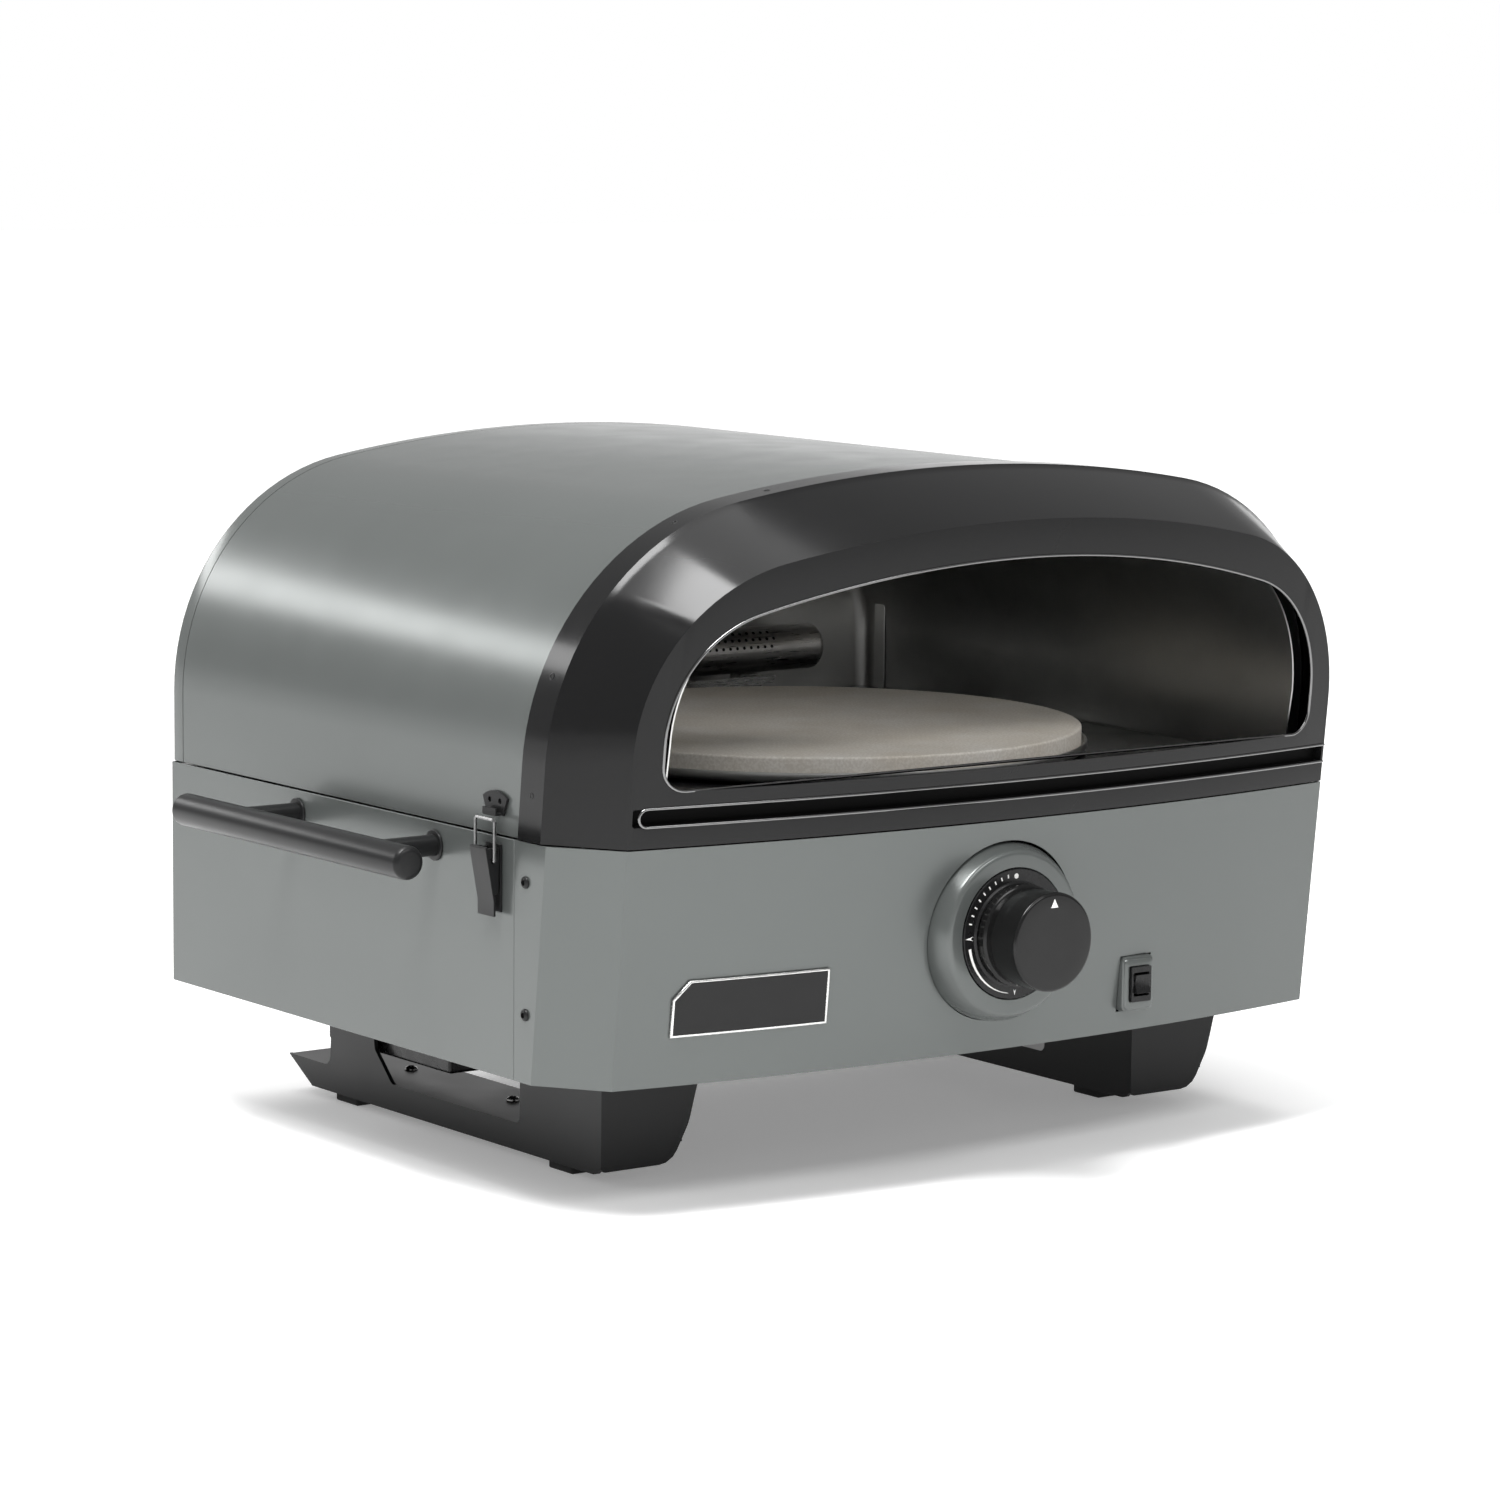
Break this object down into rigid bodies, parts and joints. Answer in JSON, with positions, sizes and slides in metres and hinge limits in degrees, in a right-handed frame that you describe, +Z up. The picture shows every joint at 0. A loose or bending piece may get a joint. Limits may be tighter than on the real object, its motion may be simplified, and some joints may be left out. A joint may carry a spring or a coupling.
{
  "type": "countertop pizza oven",
  "caption": "Countertop gas pizza oven with a hinged arched hood, glossy black fascia with a wide mouth, turning stone, side handles, draw latches, dial and rocker switch.",
  "frame": {"origin": "on the surface the oven stands on, under the middle of the bounding box", "axes": "+X to the right across the front, the front faces -Y, +Z up"},
  "size_m": [0.6628, 0.532, 0.4018],
  "materials": {
    "grey_paint": "satin grey powder coat",
    "black_enamel": "glossy black enamel",
    "black_powder_coat": "satin black powder coat",
    "stainless_steel": "plain mill and brushed stainless steel",
    "brass": "machined brass",
    "black_plastic": "satin moulded black plastic",
    "rubber": "matt black rubber",
    "cordierite": "dry pressed cream ceramic stone",
    "insulation_board": "off-white ceramic fibre board"
  },
  "bodies": {
    "oven_body": {"base_shell": "grey_paint", "front_panel": "grey_paint", "bottom_pan": "black_powder_coat", "deck_plate": "stainless_steel", "deck_insulation": "insulation_board", "oven_floor": "black_enamel", "leg_left": "black_powder_coat", "leg_right": "black_powder_coat", "foot_pad_left_front": "rubber", "foot_pad_left_rear": "rubber", "foot_pad_right_front": "rubber", "foot_pad_right_rear": "rubber", "battery_box": "black_plastic", "burner_tube": "stainless_steel", "burner_shield": "stainless_steel", "igniter": "insulation_board", "burner_bracket_1": "stainless_steel", "burner_bracket_2": "stainless_steel", "gas_inlet": "brass", "gas_valve": "brass", "supply_pipe": "stainless_steel", "burner_pipe": "stainless_steel", "gear_motor": "stainless_steel", "dial_bezel": "grey_paint", "dial_plate": "black_plastic", "switch_pedestal": "grey_paint", "switch_frame": "black_plastic", "badge_plate": "stainless_steel", "hinge_base_left": "stainless_steel", "hinge_base_right": "stainless_steel", "handle_left": "black_powder_coat", "handle_right": "black_powder_coat", "handle_post_left_front": "black_powder_coat", "handle_post_right_front": "black_powder_coat", "handle_post_left_rear": "black_powder_coat", "handle_post_right_rear": "black_powder_coat", "latch_base_left": "black_powder_coat", "latch_base_right": "black_powder_coat", "panel_screw_left_high": "black_powder_coat", "panel_screw_right_high": "black_powder_coat", "panel_screw_left_low": "black_powder_coat", "panel_screw_right_low": "black_powder_coat"},
    "hood": {"hood_shell": "grey_paint", "hood_rear_panel": "grey_paint", "hood_fascia": "black_enamel", "hood_liner": "stainless_steel", "hinge_leaf_left": "stainless_steel", "hinge_leaf_right": "stainless_steel", "keeper_left": "black_powder_coat", "keeper_right": "black_powder_coat"},
    "turntable": {"turntable_tray": "stainless_steel", "pizza_stone": "cordierite", "drive_shaft": "stainless_steel"},
    "knob": {"control_knob": "black_plastic", "valve_stem": "stainless_steel"},
    "switch_rocker": {"rocker": "black_plastic"},
    "lever_left": {"latch_lever_left": "black_powder_coat"},
    "lever_right": {"latch_lever_right": "black_powder_coat"},
    "bail_left": {"latch_bail_left": "stainless_steel"},
    "bail_right": {"latch_bail_right": "stainless_steel"}
  },
  "joints": [
    {"name": "hood_hinge", "type": "hinge", "parent": "oven_body", "child": "hood", "pos_m": [0, 0.2425, 0.2095], "axis": [-1, 0, 0], "range_deg": [0, 60]},
    {"name": "turntable_spin", "type": "hinge", "parent": "oven_body", "child": "turntable", "pos_m": [0, -0.0265, 0.2268], "axis": [0, 0, 1], "continuous": true},
    {"name": "knob_turn", "type": "hinge", "parent": "oven_body", "child": "knob", "pos_m": [-0.004, -0.2315, 0.144], "axis": [0, -1, 0], "range_deg": [0, 180]},
    {"name": "rocker_tilt", "type": "hinge", "parent": "oven_body", "child": "switch_rocker", "pos_m": [0.1003, -0.21779, 0.1033], "axis": [1, 0, 0], "range_deg": [0, 12]},
    {"name": "lever_left_swing", "type": "hinge", "parent": "oven_body", "child": "lever_left", "pos_m": [-0.2796, -0.1175, 0.199], "axis": [0, 1, 0], "range_deg": [0, 90]},
    {"name": "bail_left_turn", "type": "hinge", "parent": "lever_left", "child": "bail_left", "pos_m": [-0.2816, -0.1175, 0.1945], "axis": [0, 1, 0], "range_deg": [-90, 0]},
    {"name": "lever_right_swing", "type": "hinge", "parent": "oven_body", "child": "lever_right", "pos_m": [0.2796, -0.1175, 0.199], "axis": [0, -1, 0], "range_deg": [0, 90]},
    {"name": "bail_right_turn", "type": "hinge", "parent": "lever_right", "child": "bail_right", "pos_m": [0.2816, -0.1175, 0.1945], "axis": [0, -1, 0], "range_deg": [-90, 0]}
  ],
  "couplings": [
    {"joint": "bail_left_turn", "follows": "lever_left_swing", "ratio": -1},
    {"joint": "bail_right_turn", "follows": "lever_right_swing", "ratio": -1}
  ]
}
